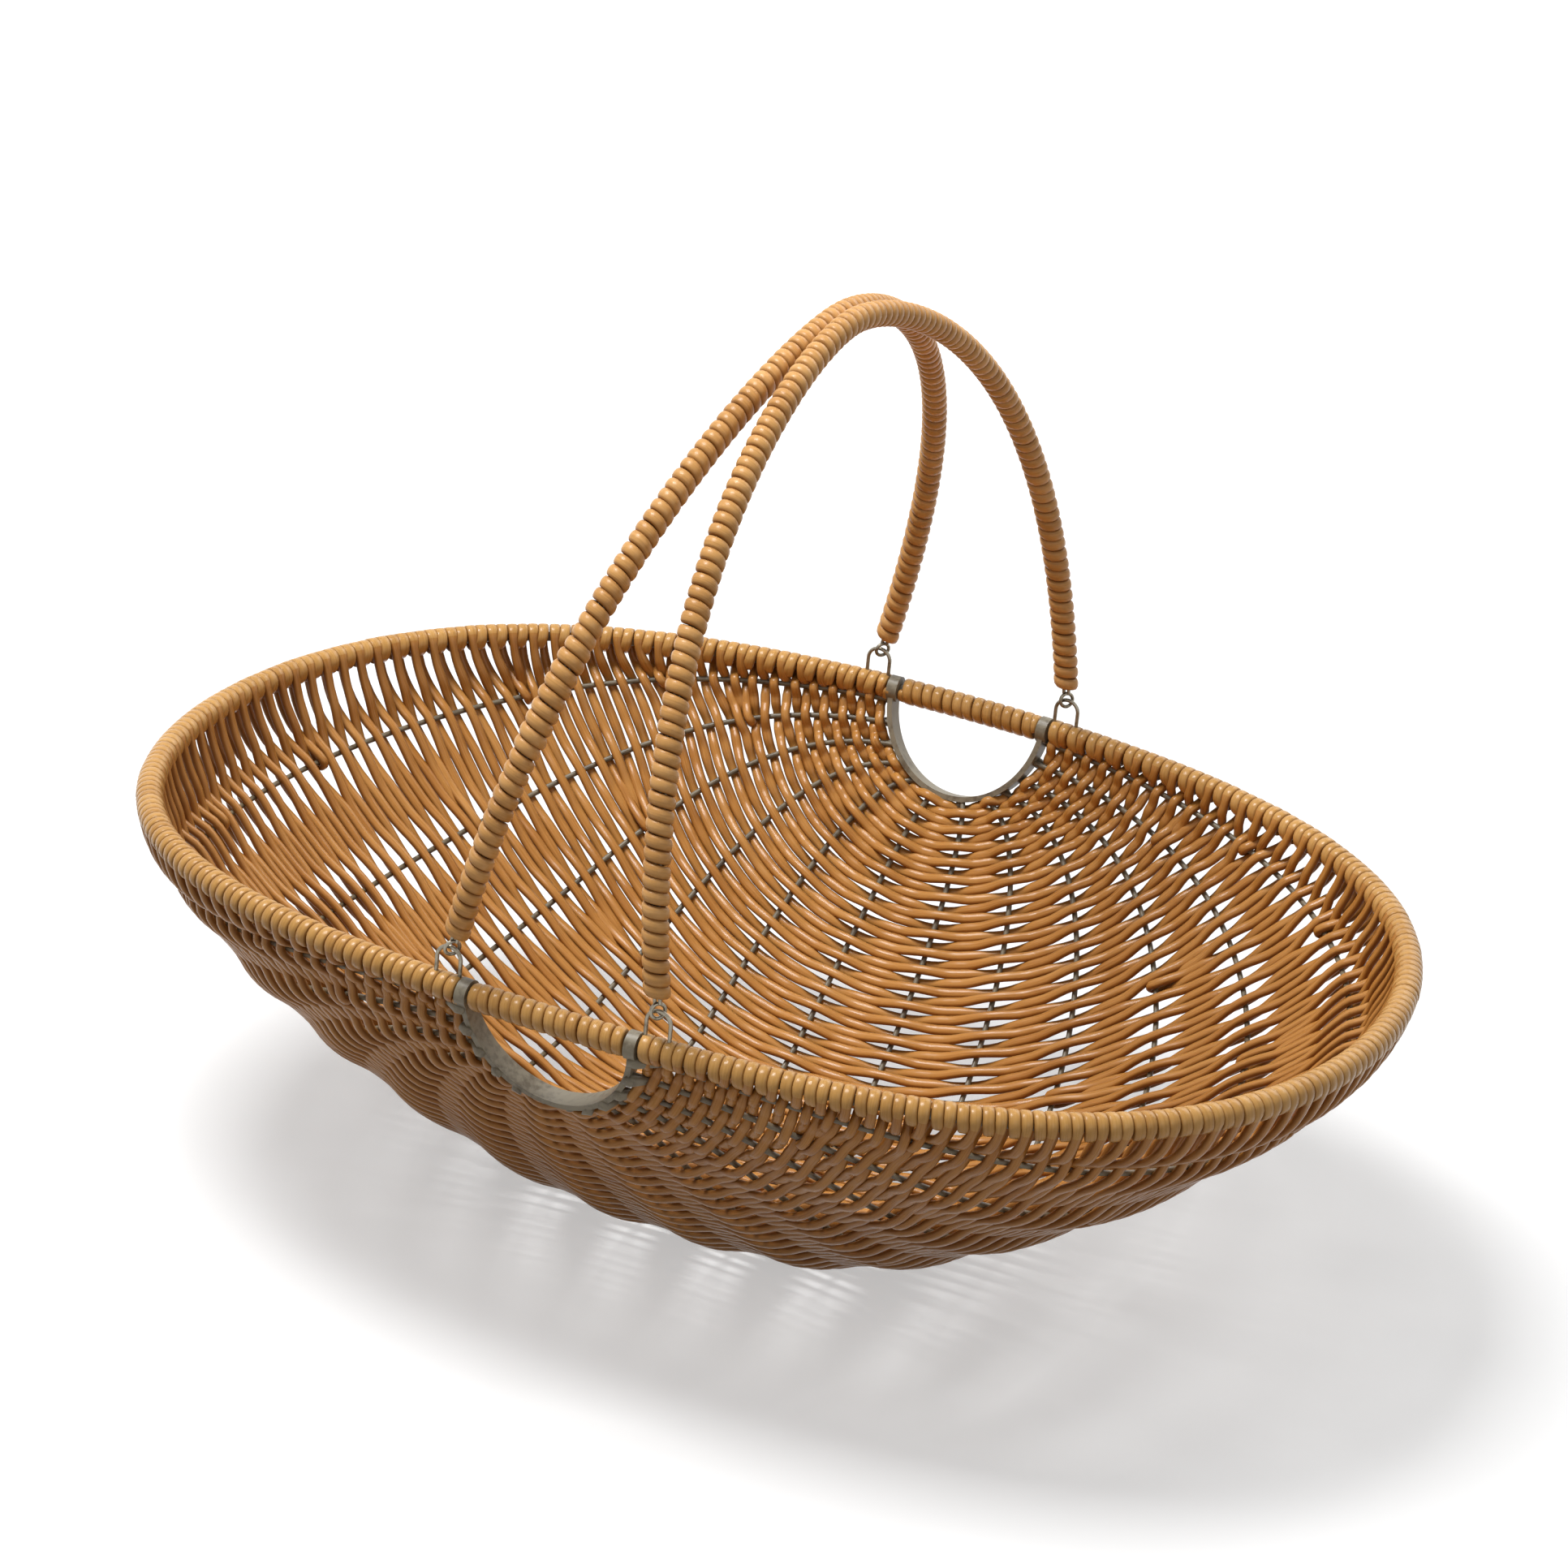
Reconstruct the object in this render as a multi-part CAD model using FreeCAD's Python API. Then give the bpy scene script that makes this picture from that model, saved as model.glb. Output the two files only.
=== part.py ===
import FreeCAD, Part
import math
import os

from FreeCAD import Vector

# Oval trug basket with two drop handles. Millimetres, +Z up, +X along the length.
# The origin is on the surface the basket stands on, under the middle of the bowl.

# ---- rim: an oval hoop of wire, wound with strand ----
RIM_HALF_LENGTH = 225.0       # middle of the basket to the hoop's centreline, along X
RIM_HALF_WIDTH = 163.0        # the same along Y
RIM_FULLNESS = 0.060          # how much squarer than an ellipse the oval is
RIM_HEIGHT = 131.0            # its centreline over the openings, above where the basket stands
RIM_SAG = 5.0                 # the two ends lie this much lower
HOOP_RADIUS = 1.75
RIM_RADIUS = 5.05             # outside of the winding
WRAP_GAP = 0.12               # strand to the wire inside it
RIM_STATIONS = 9              # curve points along each quarter of the hoop

# ---- the half-moon openings under the middle of both long sides ----
DEE_HALF_WIDTH = 31.0
DEE_DROP = 32.6               # lowest point of the arc below the hoop
DEE_INSET = 9.5               # and how far it lies inside the hoop
DEE_STRIP_WIDTH = 7.0
DEE_STRIP_THICKNESS = 2.0
COLLAR_LENGTH = 4.0           # each end of the strip closes round the hoop
COLLAR_RADIUS = 4.9

# ---- bowl: the surface half way through the weave ----
BOWL_DEPTH = 153.0            # of the free curve, before the flat floor
BOWL_ROUNDING = 0.19          # share of the half-length that the bottom is rounded over
BOWL_POWER = 1.44             # above 1, the wall turns steep under the hoop
FLOOR_DEPTH = 127.4           # hoop to the middle of the weave where the bowl stands
FLOOR_BLEND = 6.0
DEE_BLEND_POWER = 6.0

# ---- ribs and weave ----
RIB_COUNT = 12
RIB_RADIUS = 1.0
RIB_STATIONS = 15
RIB_END_GAP = 0.1             # rib end to the strip it is welded to
WEAVE_HALF_THICKNESS = 4.2    # one strand and half a rib, each side
WEAVE_RIM_GAP = 5.6           # edge of the weave to the hoop's centreline
WEAVE_DEE_GAP = 3.2           # edge of the weave to the middle of the strip
WEAVE_EDGE_GAP = 0.3          # weave to the wound rim and to the openings' strips
TUNNEL_GAP = 0.4              # weave to the ribs that run inside it
GRID_ROWS = 57
GRID_COLUMNS = 41

# ---- strand wound on the short bars above the openings ----
BAR_STRAND_RADIUS = 1.55
BAR_TURNS = 13
BAR_END_GAP = 0.35            # winding to the collars beside it

# ---- staples and hinges ----
FOOT_X = 38.7                 # hinge axis, left and right of the middle
HINGE_HEIGHT = 9.8            # hinge axis above the hoop's centreline
STAPLE_ARCH_RADIUS = 4.4
STAPLE_WIRE_RADIUS = 0.7
STAPLE_HOLE_GAP = 0.2
EYE_RADIUS = 2.5
EYE_WIRE_RADIUS = 0.65
EYE_TILT = 38.0               # the eye's plane is turned this far about the leg

# ---- handles ----
HANDLE_LENGTH = 191.0         # hinge axis to the middle of the crown
HANDLE_RADIUS = 4.35
HANDLE_BORE = 1.75
CORE_WIRE_RADIUS = 0.65
CORE_WIRE_OFFSET = 0.95       # half the distance between the two wires
WRAP_START = 8.8              # hinge axis to the end of the winding
LEG_REACH = 0.755             # Bezier handle of the leg, as a share of the rise
CROWN_REACH = 41.0            # Bezier handle of the crown
HANDLE_STATIONS = 7
LEAN_LEFT = 12.1              # the handles rest crown to crown, leaning inwards
LEAN_RIGHT = 8.6
CROWN_SHIFT_LEFT = 5.5        # the left crown sits a little behind the middle
CROWN_SHIFT_RIGHT = -3.0      # and the right one a little in front of it

# side, lean and crown of the left and the right handle
HANDLES = ((-1, LEAN_LEFT, CROWN_SHIFT_LEFT), (1, LEAN_RIGHT, CROWN_SHIFT_RIGHT))

TINY = 1e-7


# ---------------------------------------------------------------- curves ----

def rim_xy(angle):
    """Point of the oval, seen from above; angle 0 is the right end."""
    sine, cosine = math.sin(angle), math.cos(angle)
    widening = 1 + 4 * RIM_FULLNESS * cosine * cosine
    return RIM_HALF_LENGTH * cosine, RIM_HALF_WIDTH * sine * widening


def rim_z(angle):
    return RIM_HEIGHT - RIM_SAG * math.cos(angle) ** 2


def rim_point(angle):
    x, y = rim_xy(angle)
    return Vector(x, y, rim_z(angle))


def rim_angle_at(x):
    return math.acos(x / RIM_HALF_LENGTH)


DEE_ANGLE = rim_angle_at(DEE_HALF_WIDTH)
DEE_Y = rim_xy(DEE_ANGLE)[1]
FOOT_Y = rim_xy(rim_angle_at(FOOT_X))[1]
HINGE_Z = RIM_HEIGHT + HINGE_HEIGHT


def tangent_of(curve, t, step=1e-4):
    direction = curve(t + step) - curve(t - step)
    return direction.normalize()


def arc_or_line(start, corner, end):
    """The arc that leaves start towards corner and arrives at end."""
    reach = (corner - start).Length
    weight = (end - start).Length / 2 / reach
    middle = (start + corner * (2 * weight) + end) * (1 / (2 + 2 * weight))
    chord_middle = (start + end) * 0.5
    if (middle - chord_middle).Length < 1e-5:
        return Part.LineSegment(start, end)
    return Part.Arc(start, middle, end)


def biarc(p0, t0, p1, t1):
    """Two tangent arcs from p0 along t0 to p1 along t1."""
    chord = p1 - p0
    spread = chord.dot(t0 + t1)
    bend = 2 * (1 - t0.dot(t1))
    if bend < TINY:
        return [Part.LineSegment(p0, p1)]
    root = math.sqrt(spread * spread + bend * chord.dot(chord))
    reach = (root - spread) / bend
    corner0 = p0 + t0 * reach
    corner1 = p1 - t1 * reach
    joint = (corner0 + corner1) * 0.5
    return [arc_or_line(p0, corner0, joint), arc_or_line(joint, corner1, p1)]


def smooth_path(curve, stations):
    """Tangent arcs through the curve's points at the stations."""
    points = [curve(t) for t in stations]
    tangents = [tangent_of(curve, t) for t in stations]
    pieces = []
    for k in range(len(points) - 1):
        pieces += biarc(points[k], tangents[k], points[k + 1], tangents[k + 1])
    return pieces


def spaced(first, last, count):
    return [first + (last - first) * k / (count - 1) for k in range(count)]


def wire_of(pieces):
    return Part.Wire([piece.toShape() for piece in pieces])


def circle_wire(centre, direction, radius):
    return Part.Wire(Part.Circle(centre, direction, radius).toShape())


def tube(pieces, radius):
    """A round bar of the radius along the path."""
    first = pieces[0]
    start = first.value(first.FirstParameter)
    direction = first.tangent(first.FirstParameter)[0]
    profile = circle_wire(start, direction, radius)
    return wire_of(pieces).makePipeShell([profile], True, False)


def sleeve(pieces, outer_radius, inner_radius):
    return tube(pieces, outer_radius).cut(tube(pieces, inner_radius))


# ------------------------------------------------------- bowl's surface ----

def bowl_z(x, y):
    """Height of the middle of the weave above the surface it stands on."""
    u, v = x / RIM_HALF_LENGTH, y / RIM_HALF_WIDTH
    angle = math.atan2(v, u)
    for _ in range(8):
        widening = 1 + 4 * RIM_FULLNESS * math.cos(angle) ** 2
        angle = math.atan2(v / widening, u)
    share = min(math.hypot(u, v / widening), 1.0)
    full = math.hypot(1, BOWL_ROUNDING) - BOWL_ROUNDING
    rounded = (math.hypot(share, BOWL_ROUNDING) - BOWL_ROUNDING) / full
    depth = BOWL_DEPTH + rim_z(angle) - RIM_HEIGHT
    free = rim_z(angle) - depth * max(1 - rounded, 0) ** (1 / BOWL_POWER)
    floor = RIM_HEIGHT - FLOOR_DEPTH
    return free + FLOOR_BLEND * math.log1p(math.exp((floor - free) / FLOOR_BLEND))


def dee_point(u):
    """The arc of the +Y opening: u runs from -1, through 0 at the bottom, to 1."""
    turn = u * math.pi / 2
    x = DEE_HALF_WIDTH * math.sin(turn)
    y = DEE_Y - DEE_INSET * math.cos(turn)
    return Vector(x, y, RIM_HEIGHT - DEE_DROP * math.cos(turn))


def weave_point(u, v):
    """Middle of the weave: u = -1 and 1 are the rim's two ends, v = -1 and 1 the openings."""
    edge = dee_point(u)
    rim_x, rim_y = rim_xy(abs(v) * DEE_ANGLE)
    outward = (rim_x - DEE_HALF_WIDTH) / (RIM_HALF_LENGTH - DEE_HALF_WIDTH)
    x = edge.x + (RIM_HALF_LENGTH * u - edge.x) * outward
    y = edge.y * rim_y / DEE_Y
    blend = abs(v) ** DEE_BLEND_POWER
    z = bowl_z(x, y) + (edge.z - bowl_z(edge.x, edge.y)) * blend
    return Vector(x, math.copysign(y, v), z)


def weave_normal(u, v, step=2e-4):
    """Unit normal of the bowl, pointing out and down."""
    across = weave_point(min(u + step, 1), v) - weave_point(max(u - step, -1), v)
    along = weave_point(u, min(v + step, 1)) - weave_point(u, max(v - step, -1))
    normal = along.cross(across)
    return normal.normalize()


def inset_from(curve, distance):
    """Parameter below 1 at which the curve is this far, along itself, from its end."""
    steps = 400
    travelled, last = 0.0, curve(1.0)
    for k in range(1, steps):
        t = 1 - k / steps
        here = curve(t)
        step = (here - last).Length
        if travelled + step >= distance:
            return t + (1 - (distance - travelled) / step) / steps
        travelled, last = travelled + step, here
    return 0.0


# -------------------------------------------------------------- the rim ----

def rim_quarter(number):
    quarter = math.pi / 2
    stations = spaced(number * quarter, (number + 1) * quarter, RIM_STATIONS)
    return smooth_path(rim_point, stations)


def make_rim_hoop():
    pieces = []
    for number in range(4):
        pieces += rim_quarter(number)
    return tube(pieces, HOOP_RADIUS)


def angle_past(angle, distance):
    """The angle this far along the rim from the given one."""
    step = 1e-3
    speed = (rim_point(angle + step) - rim_point(angle - step)).Length / (2 * step)
    return angle + distance / speed


def side_path(side):
    """The rim from the collar at the front, round the end, to the collar at the back."""
    clear = COLLAR_LENGTH / 2 + WRAP_GAP
    if side > 0:
        first = angle_past(-DEE_ANGLE, clear)
        last = angle_past(DEE_ANGLE, -clear)
    else:
        first = angle_past(math.pi - DEE_ANGLE, clear)
        last = angle_past(math.pi + DEE_ANGLE, -clear)
    return smooth_path(rim_point, spaced(first, last, 2 * RIM_STATIONS - 1))


def staple_holes():
    """Drill for the legs of the four staples."""
    radius = STAPLE_WIRE_RADIUS + STAPLE_HOLE_GAP
    for sx in (-1, 1):
        for sy in (-1, 1):
            for leg in (-1, 1):
                foot = Vector(sx * FOOT_X + leg * STAPLE_ARCH_RADIUS, sy * FOOT_Y, RIM_HEIGHT)
                yield Part.makeCylinder(radius, RIM_RADIUS + 2, foot)


def make_rim_wrap(side):
    """The wound rim of one side; beside the openings it also takes in the outermost rib."""
    wrap = sleeve(side_path(side), RIM_RADIUS, HOOP_RADIUS + WRAP_GAP)
    for hole in staple_holes():
        if hole.BoundBox.Center.x * side > 0:
            wrap = wrap.cut(hole)
    outermost = 1 if side < 0 else RIB_COUNT
    groove = tube(rib_path(outermost, RIB_END_GAP), RIB_RADIUS + WRAP_GAP)
    return largest(wrap.cut(groove))


def bar_point(sy):
    """The rim above the +Y or -Y opening as a curve in x."""
    def curve(x):
        point = rim_point(rim_angle_at(x))
        return Vector(x, sy * point.y, point.z)
    return curve


def make_bar_wrap(sy):
    """One strand wound round the bar above an opening."""
    radius = HOOP_RADIUS + WRAP_GAP + BAR_STRAND_RADIUS
    half = DEE_HALF_WIDTH - COLLAR_LENGTH / 2 - BAR_END_GAP - BAR_STRAND_RADIUS
    bar = bar_point(sy)

    def strand(turn):
        x = half * (2 * turn / BAR_TURNS - 1)
        centre, along = bar(x), tangent_of(bar, x)
        side = along.cross(Vector(0, 0, 1)).normalize()
        spin = 2 * math.pi * turn
        return centre + side * (radius * math.sin(spin)) + Vector(0, 0, -radius * math.cos(spin))

    per_turn = 4
    pieces = smooth_path(strand, spaced(0, BAR_TURNS, per_turn * BAR_TURNS + 1))
    samples = [strand(k / 40) for k in range(40 * BAR_TURNS + 1)]
    apart = min((samples[k] - samples[m]).Length
                for k in range(0, len(samples), 5) for m in range(k + 25, len(samples)))
    print("bar winding, least gap to itself", round(apart - 2 * BAR_STRAND_RADIUS, 2))
    return tube(pieces, BAR_STRAND_RADIUS)


# ----------------------------------------------------- frames and ribs ----

def half_ring(long_radius, short_radius, origin, x_axis, down):
    """Half of an ellipse from +X, through down, to -X."""
    points = [origin + x_axis * (long_radius * math.cos(a)) + down * (short_radius * math.sin(a))
              for a in (0, math.pi / 2, math.pi)]
    normal = x_axis.cross(down)
    if short_radius > long_radius:
        ellipse = Part.Ellipse(points[1], points[0], origin)
    else:
        ellipse = Part.Ellipse(points[0], points[1], origin)
    first = ellipse.parameter(points[0])
    last = ellipse.parameter(points[2])
    arc = Part.ArcOfEllipse(ellipse, first, last)
    middle = arc.value((arc.FirstParameter + arc.LastParameter) / 2)
    if (middle - points[1]).Length > 1:
        arc = Part.ArcOfEllipse(ellipse, last, first)
    return arc.toShape(), normal


def make_dee_frame(sy):
    """Flat strip round an opening, its ends closed round the hoop."""
    origin = Vector(0, sy * DEE_Y, RIM_HEIGHT)
    x_axis = Vector(1, 0, 0)
    down = Vector(0, -sy * DEE_INSET, -DEE_DROP)
    depth = down.Length
    down.normalize()
    half = DEE_STRIP_THICKNESS / 2
    outer, normal = half_ring(DEE_HALF_WIDTH + half, depth + half, origin, x_axis, down)
    inner, _ = half_ring(DEE_HALF_WIDTH - half, depth - half, origin, x_axis, down)
    ends = [Part.LineSegment(origin + x_axis * (s * (DEE_HALF_WIDTH - half)),
                             origin + x_axis * (s * (DEE_HALF_WIDTH + half))).toShape()
            for s in (-1, 1)]
    edges = Part.sortEdges([outer, inner] + ends)[0]
    face = Part.Face(Part.Wire(edges))
    face.translate(normal * (-DEE_STRIP_WIDTH / 2))
    strip = face.extrude(normal * DEE_STRIP_WIDTH)
    frame = strip
    bar = bar_point(sy)
    for sx in (-1, 1):
        x = sx * DEE_HALF_WIDTH
        path = smooth_path(bar, spaced(x - COLLAR_LENGTH / 2, x + COLLAR_LENGTH / 2, 2))
        frame = frame.fuse(tube(path, COLLAR_RADIUS))
    bore_half = DEE_HALF_WIDTH + COLLAR_LENGTH
    bore = smooth_path(bar, spaced(-bore_half, bore_half, 5))
    return frame.cut(tube(bore, HOOP_RADIUS + WRAP_GAP)).removeSplitter()


def rib_share(number):
    """Place of a rib between the two ends of the rim: evenly spaced, none on the middle."""
    return (2 * number - RIB_COUNT - 1) / RIB_COUNT


def rib_path(number, end_gap):
    u = rib_share(number)
    last = inset_from(lambda v: weave_point(u, v), end_gap)
    return smooth_path(lambda v: weave_point(u, v), spaced(-last, last, RIB_STATIONS))


def opening_plate(sy, gap):
    """The half-moon up to its strip and through it, filled in and grown by a gap."""
    origin = Vector(0, sy * DEE_Y, RIM_HEIGHT)
    x_axis = Vector(1, 0, 0)
    down = Vector(0, -sy * DEE_INSET, -DEE_DROP)
    depth = down.Length
    down.normalize()
    grown = DEE_STRIP_THICKNESS / 2 + gap
    half_width = DEE_STRIP_WIDTH / 2 + gap
    arc, normal = half_ring(DEE_HALF_WIDTH + grown, depth + grown, origin, x_axis, down)
    closing = Part.LineSegment(origin - x_axis * (DEE_HALF_WIDTH + grown),
                               origin + x_axis * (DEE_HALF_WIDTH + grown)).toShape()
    face = Part.Face(Part.Wire(Part.sortEdges([arc, closing])[0]))
    face.translate(normal * -half_width)
    return face.extrude(normal * (2 * half_width))


def collar_room(sy, gap, radius):
    """Short bars round the hoop that hold the two collars of an opening and a gap beside them."""
    bar = bar_point(sy)
    reach = COLLAR_LENGTH / 2 + gap
    for sx in (-1, 1):
        x = sx * DEE_HALF_WIDTH
        yield tube(smooth_path(bar, spaced(x - reach, x + reach, 2)), radius)


def largest(shape):
    return max(shape.Solids, key=lambda solid: solid.Volume)


def make_rib(number):
    """A rib from strip to strip; the outermost two end at the collars."""
    rib = tube(rib_path(number, RIB_END_GAP), RIB_RADIUS)
    for sy in (-1, 1):
        rib = rib.cut(opening_plate(sy, RIB_END_GAP))
        if number in (1, RIB_COUNT):
            for room in collar_room(sy, WRAP_GAP, RIM_RADIUS + 2 * RIB_RADIUS):
                rib = rib.cut(room)
    return largest(rib)


# ---------------------------------------------------------------- weave ----

def weave_grid():
    """Parameters of the bowl, drawn in from the rim and from the openings."""
    grid = []
    for k in range(GRID_COLUMNS):
        share_u = 2 * k / (GRID_COLUMNS - 1) - 1
        v_end = inset_from(lambda v: weave_point(share_u, v), WEAVE_DEE_GAP)
        column = []
        for m in range(GRID_ROWS):
            v = v_end * (2 * m / (GRID_ROWS - 1) - 1)
            u_end = inset_from(lambda u: weave_point(u, v), WEAVE_RIM_GAP)
            column.append((share_u * u_end, v))
        grid.append(column)
    return grid


def skin(grid, offset):
    surface = Part.BSplineSurface()
    surface.interpolate([[weave_point(u, v) + weave_normal(u, v) * offset for u, v in column]
                         for column in grid])
    return surface


def edges_of(surface):
    u0, u1, v0, v1 = surface.bounds()
    curves = [surface.uIso(u0), surface.uIso(u1), surface.vIso(v0), surface.vIso(v1)]
    return [curve.toShape() for curve in curves]


def make_weave():
    """The woven bowl as one closed skin, open under the bars, with a tunnel for each rib."""
    grid = weave_grid()
    outside = skin(grid, WEAVE_HALF_THICKNESS)
    inside = skin(grid, -WEAVE_HALF_THICKNESS)
    faces = [outside.toShape(), inside.toShape()]
    for low, high in zip(edges_of(outside), edges_of(inside)):
        faces.append(Part.makeRuledSurface(low, high))
    shell = Part.makeShell(faces)
    shell.sewShape()
    body = Part.makeSolid(shell)
    if body.Volume < 0:
        body.reverse()
    block = Part.makeBox(2 * RIM_HALF_LENGTH, 2 * RIM_HALF_WIDTH, 50,
                         Vector(-RIM_HALF_LENGTH, -RIM_HALF_WIDTH, -50))
    body = body.cut(block)
    for number in range(1, RIB_COUNT + 1):
        path = rib_path(number, WEAVE_DEE_GAP * 0.4)
        body = body.cut(tube(path, RIB_RADIUS + TUNNEL_GAP))
    for sy in (-1, 1):
        body = body.cut(opening_plate(sy, WEAVE_EDGE_GAP))
    for number in range(4):
        body = body.cut(tube(rim_quarter(number), RIM_RADIUS + WEAVE_EDGE_GAP))
    return largest(body)


# ---------------------------------------------------- staples and hinges ----

def make_staple(sx, sy):
    """Wire arch that stands on the rim; the handle's eye slides round it."""
    axis = Vector(sx * FOOT_X, sy * FOOT_Y, HINGE_Z)
    reach = Vector(STAPLE_ARCH_RADIUS, 0, 0)
    root = Vector(0, 0, HOOP_RADIUS + WRAP_GAP - HINGE_HEIGHT)
    pieces = [Part.LineSegment(axis - reach + root, axis - reach),
              Part.Arc(axis - reach, axis + Vector(0, 0, STAPLE_ARCH_RADIUS), axis + reach),
              Part.LineSegment(axis + reach, axis + reach + root)]
    return tube(pieces, STAPLE_WIRE_RADIUS)


def leg_curve(sy, crown_y):
    """One leg of the upright handle, from the end of its winding to the crown."""
    rise = HANDLE_LENGTH - WRAP_START
    foot = Vector(0, sy * FOOT_Y, WRAP_START)
    above_foot = foot + Vector(0, 0, LEG_REACH * rise)
    crown = Vector(0, crown_y, HANDLE_LENGTH)
    beside_crown = crown + Vector(0, sy * CROWN_REACH, 0)

    def bezier(t):
        s = 1 - t
        return (foot * (s * s * s) + above_foot * (3 * s * s * t)
                + beside_crown * (3 * s * t * t) + crown * (t * t * t))
    return bezier


def leg_path(sy, start, crown_y):
    """The leg as arcs, begun at the given height above the hinge axis."""
    leg = leg_curve(sy, crown_y)
    pieces = []
    if start < WRAP_START:
        pieces.append(Part.LineSegment(Vector(0, sy * FOOT_Y, start), leg(0)))
    return pieces + smooth_path(leg, spaced(0, 1, HANDLE_STATIONS))


def reversed_pieces(pieces):
    turned = []
    for piece in reversed(pieces):
        start = piece.value(piece.FirstParameter)
        end = piece.value(piece.LastParameter)
        middle = piece.value((piece.FirstParameter + piece.LastParameter) / 2)
        straight = ((start + end) * 0.5 - middle).Length < 1e-6
        turned.append(Part.LineSegment(end, start) if straight else Part.Arc(end, middle, start))
    return turned


def handle_path(start, crown_y):
    return leg_path(-1, start, crown_y) + reversed_pieces(leg_path(1, start, crown_y))


def moved_path(pieces, shift):
    """The same path, shifted."""
    result = []
    for piece in pieces:
        copy = piece.copy()
        copy.translate(shift)
        result.append(copy)
    return result


def make_eye(sy, turn):
    """Ring at the end of the two core wires."""
    tilt = math.radians(turn)
    axis = Vector(math.cos(tilt), math.sin(tilt), 0)
    centre = Vector(0, sy * FOOT_Y, STAPLE_ARCH_RADIUS)
    return Part.makeTorus(EYE_RADIUS, EYE_WIRE_RADIUS, centre, axis)


def upright_core(turn, crown_y):
    """Two wires side by side, joined at both ends in an eye."""
    start = STAPLE_ARCH_RADIUS + EYE_RADIUS
    path = handle_path(start, crown_y)
    left = tube(moved_path(path, Vector(-CORE_WIRE_OFFSET, 0, 0)), CORE_WIRE_RADIUS)
    right = tube(moved_path(path, Vector(CORE_WIRE_OFFSET, 0, 0)), CORE_WIRE_RADIUS)
    eyes = [make_eye(sy, turn) for sy in (-1, 1)]
    return left.multiFuse([right] + eyes).removeSplitter()


def upright_wrap(crown_y):
    return sleeve(handle_path(WRAP_START, crown_y), HANDLE_RADIUS, HANDLE_BORE)


def placed_handle(shape, side, lean):
    """Stand the handle on its hinge axis, leaning inwards."""
    shape = shape.copy()
    shape.rotate(Vector(0, 0, 0), Vector(0, 1, 0), -side * lean)
    shape.translate(Vector(side * FOOT_X, 0, HINGE_Z))
    return shape


# --------------------------------------------------------------- output ----

def write(name, shape):
    solids = shape.Solids
    good = all(solid.isValid() for solid in solids)
    if len(solids) == 1:
        shape = solids[0]
    shape.exportStep(os.path.join("parts", name + ".step"))
    print(name, "solids", len(solids), "valid", good, "volume", round(shape.Volume))


def placed_point(point, side, lean):
    angle = math.radians(-side * lean)
    x = point.x * math.cos(angle) + point.z * math.sin(angle)
    z = point.z * math.cos(angle) - point.x * math.sin(angle)
    return Vector(side * FOOT_X + x, point.y, HINGE_Z + z)


def crown_gap(steps=400):
    """Clear distance between the two handles where they lean together."""
    centrelines = []
    for side, lean, crown_y in HANDLES:
        points = [leg_curve(sy, crown_y)(0.6 + 0.4 * k / steps)
                  for sy in (-1, 1) for k in range(steps + 1)]
        centrelines.append([placed_point(point, side, lean) for point in points])
    nearest = min((p - q).Length for p in centrelines[0] for q in centrelines[1])
    return nearest - 2 * HANDLE_RADIUS


def main():
    os.makedirs("parts", exist_ok=True)
    print("gap between the crowns", round(crown_gap(), 2))

    write("rim_hoop", make_rim_hoop())
    for name, side in (("left", -1), ("right", 1)):
        write("rim_wrap_" + name, make_rim_wrap(side))
    for name, sy in (("front", -1), ("back", 1)):
        write("bar_wrap_" + name, make_bar_wrap(sy))
        write("dee_frame_" + name, make_dee_frame(sy))
    for number in range(1, RIB_COUNT + 1):
        write("rib_%02d" % number, make_rib(number))
    write("weave", make_weave())

    for row, sy in (("front", -1), ("back", 1)):
        for name, sx in (("left", -1), ("right", 1)):
            write("staple_%s_%s" % (row, name), make_staple(sx, sy))

    for name, (side, lean, crown_y) in zip(("left", "right"), HANDLES):
        core, wrap = upright_core(-EYE_TILT, crown_y), upright_wrap(crown_y)
        write("handle_%s_core" % name, placed_handle(core, side, lean))
        write("handle_%s_wrap" % name, placed_handle(wrap, side, lean))


main()
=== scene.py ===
import math

import bpy
import numpy as np
from mathutils import Matrix, Vector


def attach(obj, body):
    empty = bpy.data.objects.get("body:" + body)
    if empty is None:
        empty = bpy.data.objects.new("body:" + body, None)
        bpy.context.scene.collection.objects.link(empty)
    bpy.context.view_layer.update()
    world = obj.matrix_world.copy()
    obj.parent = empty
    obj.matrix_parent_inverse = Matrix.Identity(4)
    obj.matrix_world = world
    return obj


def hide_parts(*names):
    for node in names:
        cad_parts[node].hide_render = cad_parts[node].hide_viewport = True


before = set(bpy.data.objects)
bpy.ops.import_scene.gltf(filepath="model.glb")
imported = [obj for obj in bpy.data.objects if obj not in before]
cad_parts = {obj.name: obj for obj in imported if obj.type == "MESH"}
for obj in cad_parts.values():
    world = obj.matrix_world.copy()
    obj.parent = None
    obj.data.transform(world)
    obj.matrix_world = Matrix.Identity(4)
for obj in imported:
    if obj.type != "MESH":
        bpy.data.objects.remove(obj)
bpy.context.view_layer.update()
rng = np.random.default_rng(21)

# Lengths here are millimetres, in the frame of the CAD model; meshes are scaled when made.
MM = 0.001

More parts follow.
